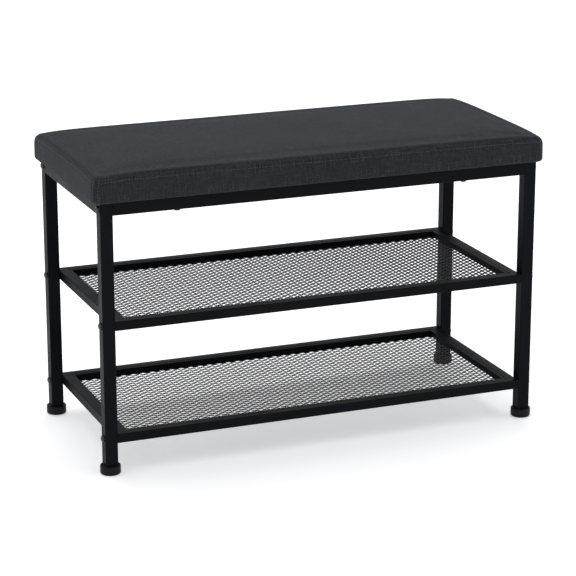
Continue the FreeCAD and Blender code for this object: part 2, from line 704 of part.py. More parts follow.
def make_seat_cover():
    """Fabric cover over the foam and board, turned under them in a hem."""
    outer = make_seat_block("cover_outside", "dims.seat_length", "dims.seat_depth",
                            "dims.seat_height", "dims.seat_corner", "dims.seat_edge")
    inner = make_seat_block("cover_inside", "dims.seat_length - 2 * dims.cover_cloth",
                            "dims.seat_depth - 2 * dims.cover_cloth",
                            "dims.seat_height - 2 * dims.cover_cloth",
                            "dims.seat_corner - dims.cover_cloth",
                            "dims.seat_edge - dims.cover_cloth")
    place(inner, z="dims.cover_cloth")
    skin = doc.addObject("Part::Cut", "cover_skin")
    skin.Base = outer
    skin.Tool = inner
    opening = doc.addObject("Part::Box", "cover_opening")
    opening_x = "dims.seat_length - 2 * dims.hem_width"
    opening_y = "dims.seat_depth - 2 * dims.hem_width"
    opening.setExpression("Length", opening_x)
    opening.setExpression("Width", opening_y)
    opening.setExpression("Height", "3 * dims.cover_cloth")
    place(opening, f"-({opening_x}) / 2", f"-({opening_y}) / 2", "-dims.cover_cloth")
    hemmed = doc.addObject("Part::Cut", "cover_hemmed")
    hemmed.Base = skin
    hemmed.Tool = opening
    drills = []
    for _, side_x, side_y in CORNERS:
        drill = doc.addObject("Part::Cylinder", "cover_bolt_hole")
        drill.setExpression("Radius", "dims.tee_barrel / 2")
        drill.setExpression("Height", "3 * dims.cover_cloth")
        place(drill, f"{side_x}dims.bolt_spacing / 2", f"{side_y}{LEG_Y}", "-dims.cover_cloth")
        drills.append(drill)
    drill_group = doc.addObject("Part::Compound", "cover_bolt_holes")
    drill_group.Links = drills
    cover = doc.addObject("Part::Cut", "seat_cover")
    cover.Base = hemmed
    cover.Tool = drill_group
    place(cover, z=SEAT_UNDERSIDE)
    doc.recompute()
    return keep(cover, "seat_cover")


LINING_X = f"({SPAN_X} - 2 * dims.lining_margin)"
LINING_Y = f"({SPAN_Y} - 2 * dims.lining_margin)"


def make_underside_cloth():
    """Thin cloth that closes the underside between the rails."""
    cloth = doc.addObject("Part::Box", "seat_underside_cloth")
    cloth.setExpression("Length", LINING_X)
    cloth.setExpression("Width", LINING_Y)
    cloth.setExpression("Height", "dims.lining_sheet")
    place(cloth, f"-{LINING_X} / 2", f"-{LINING_Y} / 2", "dims.leg_top - dims.lining_sheet")
    return keep(cloth, "seat_underside_cloth")


def make_staples():
    """Staples round the underside cloth, through the hem into the board."""
    along_x = 12
    along_y = 4
    height = "dims.leg_top - dims.lining_sheet"
    row_x = f"({LINING_X} / 2 - dims.staple_inset)"
    row_y = f"({LINING_Y} / 2 - dims.staple_inset)"
    upward = (0, 0, 1)
    places = []
    for side in ("-", "+"):
        for step in range(along_x):
            share = (2 * step + 1) / along_x - 1
            places.append((f"{share:.4f} * {row_x}", f"{side}{row_y}", height, 0, upward))
        for step in range(along_y):
            share = (2 * step + 1) / along_y - 1
            places.append((f"{side}{row_x}", f"{share:.4f} * {row_y}", height, 90, upward))
    return group("seat_staples", make_staple(), places)


# The whole bench -----------------------------------------------------------

for corner, sign_x, sign_y in CORNERS:
    make_leg(f"leg_{corner}", sign_x, sign_y)
    make_insert(f"leg_insert_{corner}", sign_x, sign_y)
    make_glide(f"foot_glide_{corner}", sign_x, sign_y)
    make_stud(f"foot_stud_{corner}", sign_x, sign_y)
make_long_rail("top_rail_front", "-")
make_long_rail("top_rail_rear", "+")
make_side_rail("top_rail_left", "-")
make_side_rail("top_rail_right", "+")
mesh_panel = expanded_metal()
for shelf_level in ("upper", "lower"):
    make_shelf_frame(shelf_level)
    make_rim(shelf_level)
    make_mesh(shelf_level, mesh_panel)
make_fasteners()
make_seat_board()
make_seat_foam()
make_seat_cover()
make_underside_cloth()
make_staples()
doc.recompute()

for item in doc.Objects:
    if "Invalid" in item.State or "Error" in item.State:
        raise RuntimeError(f"{item.Label}: {item.State}")
for subpart in subparts:
    shape = subpart.Shape
    if shape.isNull() or not shape.isValid() or not shape.Solids:
        raise RuntimeError(f"{subpart.Label} has no valid solid")
for subpart in subparts:
    subpart.Shape.exportStep(f"parts/{subpart.Label}.step")
    box = subpart.Shape.BoundBox
    print(f"{subpart.Label}: {len(subpart.Shape.Solids)} solid(s), {subpart.Shape.Volume:.0f} mm3, "
          f"z {box.ZMin:.1f} to {box.ZMax:.1f}")
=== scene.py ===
import math

import bpy
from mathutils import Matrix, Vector


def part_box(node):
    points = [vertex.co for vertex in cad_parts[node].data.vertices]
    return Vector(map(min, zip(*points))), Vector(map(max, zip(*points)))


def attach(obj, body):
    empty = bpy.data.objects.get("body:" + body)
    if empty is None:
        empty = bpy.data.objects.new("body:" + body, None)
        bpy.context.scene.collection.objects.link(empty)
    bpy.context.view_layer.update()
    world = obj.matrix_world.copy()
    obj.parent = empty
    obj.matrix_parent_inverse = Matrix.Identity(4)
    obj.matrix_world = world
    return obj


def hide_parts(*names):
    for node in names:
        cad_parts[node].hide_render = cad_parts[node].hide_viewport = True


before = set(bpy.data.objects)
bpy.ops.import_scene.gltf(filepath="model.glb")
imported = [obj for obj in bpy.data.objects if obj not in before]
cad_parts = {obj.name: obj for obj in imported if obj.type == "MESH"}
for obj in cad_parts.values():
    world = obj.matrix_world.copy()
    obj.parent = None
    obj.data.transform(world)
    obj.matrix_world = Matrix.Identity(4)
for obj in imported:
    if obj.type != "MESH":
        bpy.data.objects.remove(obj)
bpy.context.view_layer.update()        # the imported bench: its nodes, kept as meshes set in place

bl_info = {
    "name": "Entryway Bench",
    "version": (1, 0, 0),
    "blender": (4, 5, 0),
    "location": "View3D > Sidebar > Bench",
    "description": "Upholstery, expanded metal and finishes for an entryway bench",
    "category": "Add Mesh",
}

MM = 0.001
FRAME_BODY = "frame"
SEAT_LOW, SEAT_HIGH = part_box("seat_cover")
LEVELS = ("upper", "lower")
SIDES = ("front", "rear", "left", "right")
CORNERS = ("front_left", "front_right", "rear_left", "rear_right")
CORNER_STEPS = 10        # facets round an upright corner of the seat
EDGE_STEPS = 8           # facets over the seat's top edge
HEM_STEPS = 3            # facets where the cover turns under the board
STITCH_STEPS = 2         # facets from a seam to the row of stitches beside it
NEAR = 0.02 * MM         # how close two places must be to count as one
NEAR_TURN = 0.02         # the same for two turns, in radians
SEAT_FRAMES = 20         # steps of the cloth solver for the seat
CLOTH_FRAMES = 12        # and for the cloth under it
SIDEWAYS = 0.35          # share of the stuffing's push that moves the cover sideways


# Settings ------------------------------------------------------------------

def millimetres(name, description, default):
    """A length property, kept in metres and given here in millimetres."""
    return bpy.props.FloatProperty(name=name, description=description, default=default * MM,
                                   unit="LENGTH", subtype="DISTANCE", precision=5)


def colour(name, description, default):
    return bpy.props.FloatVectorProperty(name=name, description=description, default=default,
                                         size=3, min=0, max=1, subtype="COLOR")


def factor(name, description, default):
    return bpy.props.FloatProperty(name=name, description=description, default=default,
                                   min=0, max=1, subtype="FACTOR")


def angle(name, description, default):
    return bpy.props.FloatProperty(name=name, description=description,
                                   default=math.radians(default), unit="ROTATION", subtype="ANGLE")


class BenchSeatSettings(bpy.types.PropertyGroup):
    """Sizes and colours of the upholstered seat."""

    corner_radius: millimetres("Corner Radius", "Radius of the seat's upright corners", 13.5)
    edge_radius: millimetres("Edge Radius", "Radius of the seat's top edge", 12.5)
    hem_radius: millimetres("Hem Radius", "Radius where the cover turns under the board", 4)
    cell: millimetres("Cell", "Spacing of the cover's mesh before it is smoothed", 8)
    shrink: millimetres("Shrink", "How much smaller the cover starts than the finished seat", 0.5)
    crown: millimetres("Crown", "How far the seat's top falls from its middle to its edges", 2.2)
    corner_drop: millimetres("Corner Drop", "How much further its corners are pulled down", 5.5)
    waist: millimetres("Waist", "How far the top edge pulls in between the corners", 1.8)
    swell: millimetres("Swell", "Furthest that the stuffing may push the cover out", 2.2)
    sag: millimetres("Sag", "Furthest that the cloth under the seat may hang down", 2.5)
    seam_depth: millimetres("Seam Depth", "How far a seam pulls into the stuffing", 0.9)
    stitch_pitch: millimetres("Stitch Pitch", "Length of one stitch and the gap after it", 4.4)
    stitch_length: millimetres("Stitch Length", "Length of the thread that shows in one stitch", 3.1)
    thread: millimetres("Thread", "Thickness of the sewing thread", 0.55)
    yarn: millimetres("Yarn", "Spacing of the fabric's yarns", 0.9)
    fabric_dark: colour("Fabric Shade", "Darker yarns of the cover", (0.0075, 0.0084, 0.0096))
    fabric_light: colour("Fabric Light", "Lighter yarns of the cover", (0.04, 0.045, 0.051))
    thread_colour: colour("Thread Colour", "Sewing thread", (0.075, 0.08, 0.09))


class BenchMetalSettings(bpy.types.PropertyGroup):
    """The coated frame, the expanded metal and the fasteners."""

    coating: colour("Coating", "Powder coating of the frame", (0.004, 0.0044, 0.0056))
    coating_roughness: factor("Coating Roughness", "Roughness of the powder coating", 0.42)
    frame_gloss: factor("Frame Gloss", "Specular level of the frame's coating", 0.04)
    mesh_gloss: factor("Mesh Gloss", "Specular level of the mesh's coating", 0.3)
    long_way: millimetres("Long Way", "Length of one diamond along the bench", 16)
    short_way: millimetres("Short Way", "Width of one diamond across the bench", 10.8)
    strand: millimetres("Strand", "Width of one strand of the mesh", 2)
    gauge: millimetres("Gauge", "Thickness of the sheet that the mesh was slit from", 0.8)
    tilt: angle("Tilt", "Turn of the strands about the long way, front edge up below zero", -38)


class BenchStageSettings(bpy.types.PropertyGroup):
    """Floor, lights and camera."""

    floor: colour("Floor", "Floor and backdrop", (0.97, 0.97, 0.975))
    floor_glow: factor("Floor Glow", "Light that the floor gives off, as a light table does", 0.35)
    sky: factor("Sky", "Strength of the even light from all round", 0.78)
    azimuth: angle("Azimuth", "Camera round the bench, from its front to its left", 21.78)
    elevation: angle("Elevation", "Camera above the horizon", 16.71)
    distance: bpy.props.FloatProperty(name="Distance", description="Camera to the bench's middle",
                                      default=3.523, unit="LENGTH", subtype="DISTANCE")
    aim_height: bpy.props.FloatProperty(name="Aim Height", description="Height that the camera aims at",
                                        default=0.2059, unit="LENGTH", subtype="DISTANCE")
    lens: bpy.props.FloatProperty(name="Lens", description="Focal length in millimetres",
                                  default=142.64, min=10, max=400, subtype="UNSIGNED")


# Small helpers for mesh work ------------------------------------------------

def deselect_all():
    if bpy.context.object and bpy.context.object.mode != "OBJECT":
        bpy.ops.object.mode_set(mode="OBJECT")
    bpy.ops.object.select_all(action="DESELECT")


def activate(piece):
    """Make one object the only selected and the active one."""
    deselect_all()
    piece.select_set(True)
    bpy.context.view_layer.objects.active = piece


def new_piece(name, add, **arguments):
    """Add a primitive at its size and place, and name it."""
    deselect_all()
    add(**arguments)
    piece = bpy.context.object
    piece.name = name
    piece.data.name = name
    return piece


def settle(piece):
    """Put the object's place, turn and size into its mesh."""
    activate(piece)
    bpy.ops.object.transform_apply(location=True, rotation=True, scale=True)


def edit_select(piece, mode, wanted):
    """Open a mesh in edit mode with the elements that pass a test selected."""
    activate(piece)
    bpy.ops.object.mode_set(mode="EDIT")
    bpy.ops.mesh.select_mode(type=mode)
    bpy.ops.mesh.select_all(action="DESELECT")
    bpy.ops.object.mode_set(mode="OBJECT")
    elements = {"VERT": piece.data.vertices, "EDGE": piece.data.edges,
                "FACE": piece.data.polygons}[mode]
    for element in elements:
        element.select = wanted(element)
    bpy.ops.object.mode_set(mode="EDIT")


def bisect_everywhere(piece, axis, places):
    """Cut a mesh right through at each place along an axis."""
    activate(piece)
    bpy.ops.object.mode_set(mode="EDIT")
    normal = [0, 0, 0]
    normal["xyz".index(axis)] = 1
    for position in places:
        bpy.ops.mesh.select_all(action="SELECT")
        bpy.ops.mesh.bisect(plane_co=[position * step for step in normal], plane_no=normal)
    bpy.ops.object.mode_set(mode="OBJECT")


def apply_modifier(piece, kind, **values):
    """Add a modifier, set it and apply it."""
    activate(piece)
    modifier = piece.modifiers.new(kind.title(), kind)
    for name, value in values.items():
        setattr(modifier, name, value)
    bpy.ops.object.modifier_apply(modifier=modifier.name)


def smooth_by_angle(piece, degrees):
    activate(piece)
    bpy.ops.object.shade_smooth_by_angle(angle=math.radians(degrees))


def join(pieces, name):
    """Join pieces into one object."""
    activate(pieces[0])
    for piece in pieces[1:]:
        piece.select_set(True)
    if len(pieces) > 1:
        bpy.ops.object.join()
    whole = bpy.context.object
    whole.name = name
    whole.data.name = name
    return whole


def copy_piece(piece, name):
    """A copy with its own mesh."""
    twin = piece.copy()
    twin.data = piece.data.copy()
    twin.name = name
    bpy.context.scene.collection.objects.link(twin)
    return twin


def solve_cloth(piece, held, frames, gravity=1.0, **settings):
    """Run the cloth solver on a piece held by a vertex group, and keep the result."""
    cloth = piece.modifiers.new("Cloth", "CLOTH")
    cloth.settings.vertex_group_mass = held
    cloth.settings.quality = 6
    cloth.settings.effector_weights.gravity = gravity
    for name, value in settings.items():
        setattr(cloth.settings, name, value)
    cloth.collision_settings.use_collision = False
    cloth.point_cache.frame_start = 1
    cloth.point_cache.frame_end = frames
    for step in range(1, frames + 1):
        bpy.context.scene.frame_set(step)
    activate(piece)
    bpy.ops.object.modifier_apply(modifier=cloth.name)
    bpy.context.scene.frame_set(1)


def span(low, high, step):
    """Evenly spaced places strictly between two ends, about a step apart."""
    count = max(1, round((high - low) / step))
    return [low + (high - low) * index / count for index in range(1, count)]


# Shader node groups ---------------------------------------------------------

class Graph:
    """Adds nodes to a material or a node group and links them."""

    def __init__(self, tree):
        self.tree = tree

    def node(self, kind, inputs=None, **settings):
        item = self.tree.nodes.new(kind)
        for name, value in settings.items():
            setattr(item, name, value)
        for name, value in (inputs or {}).items():
            self.feed(item.inputs[name], value)
        return item

    def feed(self, socket, value):
        if isinstance(value, bpy.types.NodeSocket):
            self.tree.links.new(value, socket)
        else:
            socket.default_value = value

    def math(self, operation, *values):
        item = self.node("ShaderNodeMath", operation=operation)
        for index, value in enumerate(values):
            self.feed(item.inputs[index], value)
        return item.outputs[0]

    def mix(self, share, first, second):
        """Mix two colours."""
        item = self.node("ShaderNodeMix", data_type="RGBA")
        for socket, value in zip((item.inputs[0], item.inputs[6], item.inputs[7]),
                                 (share, first, second)):
            self.feed(socket, value)
        return item.outputs[2]

    def between(self, value, low, high, new_low=0.0, new_high=1.0):
        """Map a value's range onto another and clamp it."""
        item = self.node("ShaderNodeMapRange", {"Value": value, "From Min": low, "From Max": high,
                                                "To Min": new_low, "To Max": new_high})
        return item.outputs[0]

    def noise(self, vector, scale, detail=2.0, roughness=0.5):
        item = self.node("ShaderNodeTexNoise", {"Vector": vector, "Scale": scale,
                                                "Detail": detail, "Roughness": roughness})
        return item.outputs["Fac"]

    def stretched(self, vector, scale):
        """A vector with each axis at a scale of its own."""
        return self.node("ShaderNodeMapping", {"Vector": vector, "Scale": scale}).outputs[0]


def rgba(values):
    return (*values, 1.0)


def start_group(name, inputs, outputs):
    """A node group with named sockets, and a graph to fill it."""
    tree = bpy.data.node_groups.new(name, "ShaderNodeTree")
    for socket_name, kind, default in inputs:
        socket = tree.interface.new_socket(socket_name, in_out="INPUT", socket_type=kind)
        if default is not None:
            socket.default_value = default
    for socket_name, kind in outputs:
        tree.interface.new_socket(socket_name, in_out="OUTPUT", socket_type=kind)
    graph = Graph(tree)
    return graph, graph.node("NodeGroupInput"), graph.node("NodeGroupOutput")


def make_grain_group():
    """Fine uneven skin, as on powder coating and moulded plastic."""
    graph, given, result = start_group(
        "Skin Grain",
        (("Vector", "NodeSocketVector", None), ("Scale", "NodeSocketFloat", 800.0),
         ("Pits", "NodeSocketFloat", 0.3)),
        (("Height", "NodeSocketFloat"),))
    swell = graph.noise(given.outputs["Vector"], given.outputs["Scale"], 3.0, 0.55)
    cells = graph.node("ShaderNodeTexVoronoi", {"Vector": given.outputs["Vector"],
                                                "Scale": given.outputs["Scale"]})
    pits = graph.math("MULTIPLY", cells.outputs["Distance"], given.outputs["Pits"])
    graph.feed(result.inputs["Height"], graph.math("ADD", swell, pits))
    return graph.tree


def make_handling_group():
    """Where hands, shoes and dust have changed a finish: broad smudges and fine scuffs."""
    graph, given, result = start_group(
        "Handling Marks",
        (("Vector", "NodeSocketVector", None), ("Smudge Scale", "NodeSocketFloat", 14.0),
         ("Scuff Scale", "NodeSocketFloat", 160.0)),
        (("Smudge", "NodeSocketFloat"), ("Scuff", "NodeSocketFloat")))
    vector = given.outputs["Vector"]
    smudge = graph.noise(vector, given.outputs["Smudge Scale"], 4.0, 0.6)
    scuff = graph.noise(graph.stretched(vector, (1.0, 3.0, 2.0)), given.outputs["Scuff Scale"],
                        5.0, 0.65)
    graph.feed(result.inputs["Smudge"], graph.between(smudge, 0.35, 0.7))
    graph.feed(result.inputs["Scuff"], graph.between(scuff, 0.62, 0.74))
    return graph.tree


def make_weave_group():
    """Plain weave of slubby yarns: warp along V, weft along U, with a painted shade mask for the gaps
    between them.
    """
    graph, given, result = start_group(
        "Linen Weave",
        (("Vector", "NodeSocketVector", None), ("Yarn", "NodeSocketFloat", 0.9 * MM),
         ("Slub", "NodeSocketFloat", 0.5)),
        (("Height", "NodeSocketFloat"), ("Tone", "NodeSocketFloat"), ("Painted Gap Shade", "NodeSocketFloat")))
    vector = given.outputs["Vector"]
    turns = graph.math("DIVIDE", math.pi, given.outputs["Yarn"])
    drift = graph.noise(vector, 60.0, 2.0)
    drift = graph.math("MULTIPLY", graph.math("SUBTRACT", drift, 0.5), 0.0022)
    split = graph.node("ShaderNodeSeparateXYZ", {"Vector": vector})
    across = graph.math("MULTIPLY", graph.math("ADD", split.outputs["X"], drift), turns)
    along = graph.math("MULTIPLY", graph.math("ADD", split.outputs["Y"], drift), turns)
    # Each yarn's round back, lifted where it passes over the other and dropped where it dives.
    warp_back = graph.math("ABSOLUTE", graph.math("SINE", across))
    weft_back = graph.math("ABSOLUTE", graph.math("SINE", along))
    over = graph.math("MULTIPLY", graph.math("SINE", across), graph.math("SINE", along))
    over = graph.between(over, -0.25, 0.25)
    warp_height = graph.math("MULTIPLY", warp_back, over)
    weft_height = graph.math("MULTIPLY", weft_back, graph.math("SUBTRACT", 1.0, over))
    height = graph.math("MAXIMUM", warp_height, weft_height)
    # Slubs: a yarn runs thick or thin, light or dark for a while along its own length.
    warp_slub = graph.noise(graph.stretched(vector, (900.0, 26.0, 1.0)), 1.0, 2.0)
    weft_slub = graph.noise(graph.stretched(vector, (26.0, 900.0, 1.0)), 1.0, 2.0)
    slub = graph.node("ShaderNodeMix", {0: over}, data_type="FLOAT")
    graph.feed(slub.inputs[2], weft_slub)
    graph.feed(slub.inputs[3], warp_slub)
    tone = graph.between(slub.outputs[0], 0.32, 0.68)
    thick = graph.math("MULTIPLY", graph.math("SUBTRACT", tone, 0.5), given.outputs["Slub"])
    graph.feed(result.inputs["Height"], graph.math("ADD", height, thick))
    graph.feed(result.inputs["Tone"], tone)
    # Painted shade: 1 in the low gaps between the yarns, where shade would fall, 0 on their raised
    # backs.
    graph.feed(result.inputs["Painted Gap Shade"], graph.between(height, 0.0, 0.45, 1.0, 0.0))
    return graph.tree


# Materials ------------------------------------------------------------------

GROUPS = {}


def shared(name):
    """A shared node group, made the first time that it is asked for."""
    makers = {"grain": make_grain_group, "marks": make_handling_group, "weave": make_weave_group}
    if name not in GROUPS:
        GROUPS[name] = makers[name]()
    return GROUPS[name]


class Finish:
    """One material: a Principled shader with the object's own coordinates at hand."""

    def __init__(self, name, coordinates="Object"):
        self.material = bpy.data.materials.new(name)
        self.material.use_nodes = True
        self.graph = Graph(self.material.node_tree)
        self.shader = self.material.node_tree.nodes["Principled BSDF"]
        self.vector = self.graph.node("ShaderNodeTexCoord").outputs[coordinates]

    def set(self, **values):
        for name, value in values.items():
            self.graph.feed(self.shader.inputs[name.replace("_", " ")], value)

    def group(self, name, **inputs):
        item = self.graph.node("ShaderNodeGroup", node_tree=shared(name))
        self.graph.feed(item.inputs["Vector"], self.vector)
        for key, value in inputs.items():
            self.graph.feed(item.inputs[key.replace("_", " ")], value)
        return item.outputs

    def bump(self, height, strength, distance):
        item = self.graph.node("ShaderNodeBump", {"Height": height, "Strength": strength,
                                                  "Distance": distance})
        self.graph.feed(self.shader.inputs["Normal"], item.outputs[0])


def coated_finish(name, paint, roughness, gloss):
    """Satin powder coating: faint orange peel, dusty smudges and a few pale scuffs."""
    finish = Finish(name)
    graph = finish.graph
    marks = finish.group("marks", Smudge_Scale=11.0, Scuff_Scale=190.0)
    grain = finish.group("grain", Scale=1500.0, Pits=0.25)
    pale = tuple(min(1.0, channel * 1.5 + 0.003) for channel in paint)
    dusty = graph.mix(graph.math("MULTIPLY", marks["Smudge"], 0.35), rgba(paint), rgba(pale))
    worn = tuple(min(1.0, channel * 3.0 + 0.015) for channel in paint)
    tone = graph.mix(graph.math("MULTIPLY", marks["Scuff"], 0.12), dusty, rgba(worn))
    finish.set(Base_Color=tone, Specular_IOR_Level=gloss, IOR=1.5,
               Roughness=graph.between(marks["Smudge"], 0.0, 1.0, roughness - 0.04, roughness + 0.08))
    finish.bump(grain["Height"], 0.12, 0.0003)
    return finish.material


def bolt_finish():
    """Black-oxide steel, rubbed a little brighter in patches."""
    finish = Finish("black_oxide_bolt")
    graph = finish.graph
    marks = finish.group("marks", Smudge_Scale=240.0, Scuff_Scale=900.0)
    grain = finish.group("grain", Scale=2600.0, Pits=0.4)
    rubbed = graph.math("MULTIPLY", marks["Smudge"], 0.6)
    finish.set(Base_Color=graph.mix(rubbed, (0.03, 0.03, 0.033, 1), (0.12, 0.12, 0.125, 1)),
               Metallic=0.85, Roughness=graph.between(marks["Scuff"], 0.0, 1.0, 0.38, 0.55))
    finish.bump(grain["Height"], 0.1, 0.0002)
    return finish.material


def zinc_finish():
    """Zinc-plated steel with a faint spangle."""
    finish = Finish("zinc_plate")
    graph = finish.graph
    spangle = graph.node("ShaderNodeTexVoronoi", {"Vector": finish.vector, "Scale": 420.0})
    marks = finish.group("marks", Smudge_Scale=90.0, Scuff_Scale=700.0)
    shade = graph.between(spangle.outputs["Distance"], 0.0, 0.9)
    tone = graph.mix(shade, (0.62, 0.63, 0.62, 1), (0.46, 0.47, 0.48, 1))
    finish.set(Base_Color=graph.mix(graph.math("MULTIPLY", marks["Smudge"], 0.3), tone,
                                    (0.5, 0.48, 0.4, 1)),
               Metallic=1.0, Roughness=graph.between(shade, 0.0, 1.0, 0.28, 0.42))
    finish.bump(graph.noise(finish.vector, 1400.0, 3.0), 0.08, 0.0002)
    return finish.material


def moulded_finish(name, tint, roughness, scale):
    """Moulded plastic with a spark-eroded grain."""
    finish = Finish(name)
    graph = finish.graph
    grain = finish.group("grain", Scale=scale, Pits=0.8)
    marks = finish.group("marks", Smudge_Scale=60.0, Scuff_Scale=500.0)
    pale = tuple(min(1.0, channel * 1.8 + 0.01) for channel in tint)
    finish.set(Base_Color=graph.mix(graph.math("MULTIPLY", marks["Scuff"], 0.35), rgba(tint),
                                    rgba(pale)),
               Roughness=graph.between(marks["Smudge"], 0.0, 1.0, roughness, roughness + 0.1),
               Specular_IOR_Level=0.12)
    finish.bump(grain["Height"], 0.25, 0.0003)
    return finish.material


def plywood_finish():
    """Raw plywood: long figure on the face, thin plies at the edge."""
    finish = Finish("raw_plywood")
    graph = finish.graph
    figure = graph.noise(graph.stretched(finish.vector, (2.0, 26.0, 600.0)), 1.0, 4.0, 0.6)
    pores = graph.noise(graph.stretched(finish.vector, (60.0, 1400.0, 600.0)), 1.0, 2.0)
    tone = graph.mix(graph.between(figure, 0.3, 0.7), (0.56, 0.4, 0.24, 1), (0.72, 0.56, 0.36, 1))
    finish.set(Base_Color=graph.mix(graph.between(pores, 0.62, 0.75, 0.0, 0.5), tone,
                                    (0.3, 0.19, 0.1, 1)), Roughness=0.75)
    finish.bump(pores, 0.2, 0.0003)
    return finish.material


def linen_finish(seat):
    """Charcoal linen-look cover: plain weave, slubs, heathered yarns, painted shade in the gaps between
    the yarns and a soft sheen.
    """
    finish = Finish("charcoal_linen", "UV")
    graph = finish.graph
    weave = finish.group("weave", Yarn=seat.yarn, Slub=0.55)
    heather = graph.noise(finish.vector, 330.0, 3.0, 0.6)
    cloud = graph.noise(finish.vector, 9.0, 3.0)
    streak_up = graph.noise(graph.stretched(finish.vector, (620.0, 34.0, 1.0)), 1.0, 3.0, 0.6)
    streak_along = graph.noise(graph.stretched(finish.vector, (34.0, 620.0, 1.0)), 1.0, 3.0, 0.6)
    streaks = graph.math("MAXIMUM", graph.between(streak_up, 0.54, 0.72),
                         graph.between(streak_along, 0.57, 0.75))
    tone = graph.math("ADD", graph.math("MULTIPLY", weave["Tone"], 0.5),
                      graph.between(heather, 0.32, 0.68, 0.0, 0.45))
    tone = graph.math("ADD", tone, graph.math("MULTIPLY", streaks, 0.9))
    tone = graph.math("ADD", tone, graph.between(cloud, 0.3, 0.7, -0.1, 0.1))
    yarns = graph.mix(graph.between(tone, 0.17, 1.3), rgba(seat.fabric_dark), rgba(seat.fabric_light))
    # Painted shade: the gaps between the yarns are mixed towards near-black.
    finish.set(Base_Color=graph.mix(graph.math("MULTIPLY", weave["Painted Gap Shade"], 0.6), yarns,
                                    (0.006, 0.006, 0.008, 1)),
               Roughness=graph.between(weave["Tone"], 0.0, 1.0, 0.82, 0.95),
               Sheen_Weight=0.07, Sheen_Roughness=0.5, Sheen_Tint=(0.75, 0.82, 0.9, 1),
               Specular_IOR_Level=0.15)
    finish.bump(weave["Height"], 0.55, 0.0005)
    return finish.material


def thread_finish(seat):
    """Twisted sewing thread: ridges wound round its length, with painted shade in the grooves between
    them.
    """
    finish = Finish("sewing_thread")
    graph = finish.graph
    ply = graph.node("ShaderNodeTexWave", {"Vector": finish.vector, "Scale": 900.0,
                                           "Distortion": 1.5}, bands_direction="DIAGONAL")
    # Painted shade: the grooves of the twist are coloured darker and the ridges lighter.
    deep = tuple(channel * 0.5 for channel in seat.thread_colour)
    finish.set(Base_Color=graph.mix(ply.outputs["Fac"], rgba(deep), rgba(seat.thread_colour)),
               Roughness=0.6, Sheen_Weight=0.15)
    finish.bump(ply.outputs["Fac"], 0.5, 0.0002)
    return finish.material


def bonded_cloth_finish():
    """Spun-bonded black cloth with its grid of pressed dots and stray fibres."""
    finish = Finish("bonded_black_cloth")
    graph = finish.graph
    dots = graph.node("ShaderNodeTexVoronoi", {"Vector": graph.stretched(finish.vector, (700, 700, 1)),
                                               "Scale": 1.0, "Randomness": 0.0})
    pressed = graph.between(dots.outputs["Distance"], 0.2, 0.36)
    fibres = graph.noise(graph.stretched(finish.vector, (1800.0, 420.0, 1.0)), 1.0, 4.0, 0.7)
    fuzz = graph.math("MULTIPLY", fibres, pressed)
    finish.set(Base_Color=graph.mix(fuzz, (0.008, 0.008, 0.009, 1), (0.05, 0.05, 0.053, 1)),
               Roughness=graph.between(pressed, 0.0, 1.0, 0.55, 0.9), Sheen_Weight=0.2)
    finish.bump(graph.math("ADD", pressed, graph.math("MULTIPLY", fibres, 0.5)), 0.5, 0.0003)
    return finish.material


def floor_finish(tint, glow):
    """Matt pale studio floor with the faintest mottling, lit a little from beneath."""
    finish = Finish("studio_floor")
    graph = finish.graph
    mottle = graph.noise(finish.vector, 3.0, 3.0)
    deep = tuple(channel * 0.985 for channel in tint)
    finish.set(Base_Color=graph.mix(mottle, rgba(tint), rgba(deep)), Roughness=0.9,
               Emission_Color=(1, 1, 1, 1), Emission_Strength=glow)
    return finish.material


def paint_node(node, material):
    """Give a carried-over CAD node its finish."""
    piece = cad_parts[node]
    piece.data.materials.clear()
    piece.data.materials.append(material)
    for polygon in piece.data.polygons:
        polygon.material_index = 0


# Expanded metal -------------------------------------------------------------

def make_strand_period(name, metal):
    """One period of a zigzag strand, flat: up a slant, along a bond, down a slant, along a bond.

    It is a flat strip, which tilt_strand turns and thickens."""
    slope = math.atan2(metal.short_way, metal.long_way)
    bond = metal.strand / math.sin(slope) / 2
    rise = metal.short_way / 4
    reach = metal.long_way / 2
    strip = new_piece(name, bpy.ops.mesh.primitive_plane_add, size=1)
    strip.scale = (bond, metal.strand, 1)
    settle(strip)
    steps = ((reach - bond, 1), (bond, 0), (reach - bond, -1))
    for run, climb in steps:
        right = max(vertex.co.x for vertex in strip.data.vertices)
        edit_select(strip, "EDGE", lambda edge: all(
            abs(strip.data.vertices[index].co.x - right) < NEAR for index in edge.vertices))
        bpy.ops.mesh.extrude_region_move(
            TRANSFORM_OT_translate={"value": (run, climb * rise * 2, 0)})
        bpy.ops.object.mode_set(mode="OBJECT")
    left = min(vertex.co.x for vertex in strip.data.vertices)
    strip.location = (-left, -rise, 0)
    settle(strip)
    return strip


def tilt_strand(strip, metal):
    """Turn the strand about the long way and give it the sheet's thickness.

    Where two strands bond they share one tilted width, so a strand climbs from the lower half
    of one bond to the upper half of the next."""
    climb = 2 * metal.strand * math.sin(metal.tilt) / metal.short_way
    stations = {}
    for vertex in strip.data.vertices:
        stations.setdefault(round(vertex.co.x / MM, 2), []).append(vertex.co.y)
    for place, ends in stations.items():
        middle = sum(ends) / len(ends)
        edit_select(strip, "VERT", lambda vertex: abs(vertex.co.x - place * MM) < NEAR)
        # Without a window the rotate operator turns the other way.
        bpy.ops.transform.rotate(value=-metal.tilt, orient_axis="X",
                                 center_override=(place * MM, middle, 0))
        bpy.ops.transform.translate(value=(0, 0, -middle * climb))
        bpy.ops.object.mode_set(mode="OBJECT")
    apply_modifier(strip, "SOLIDIFY", thickness=metal.gauge, offset=0, use_even_offset=True)


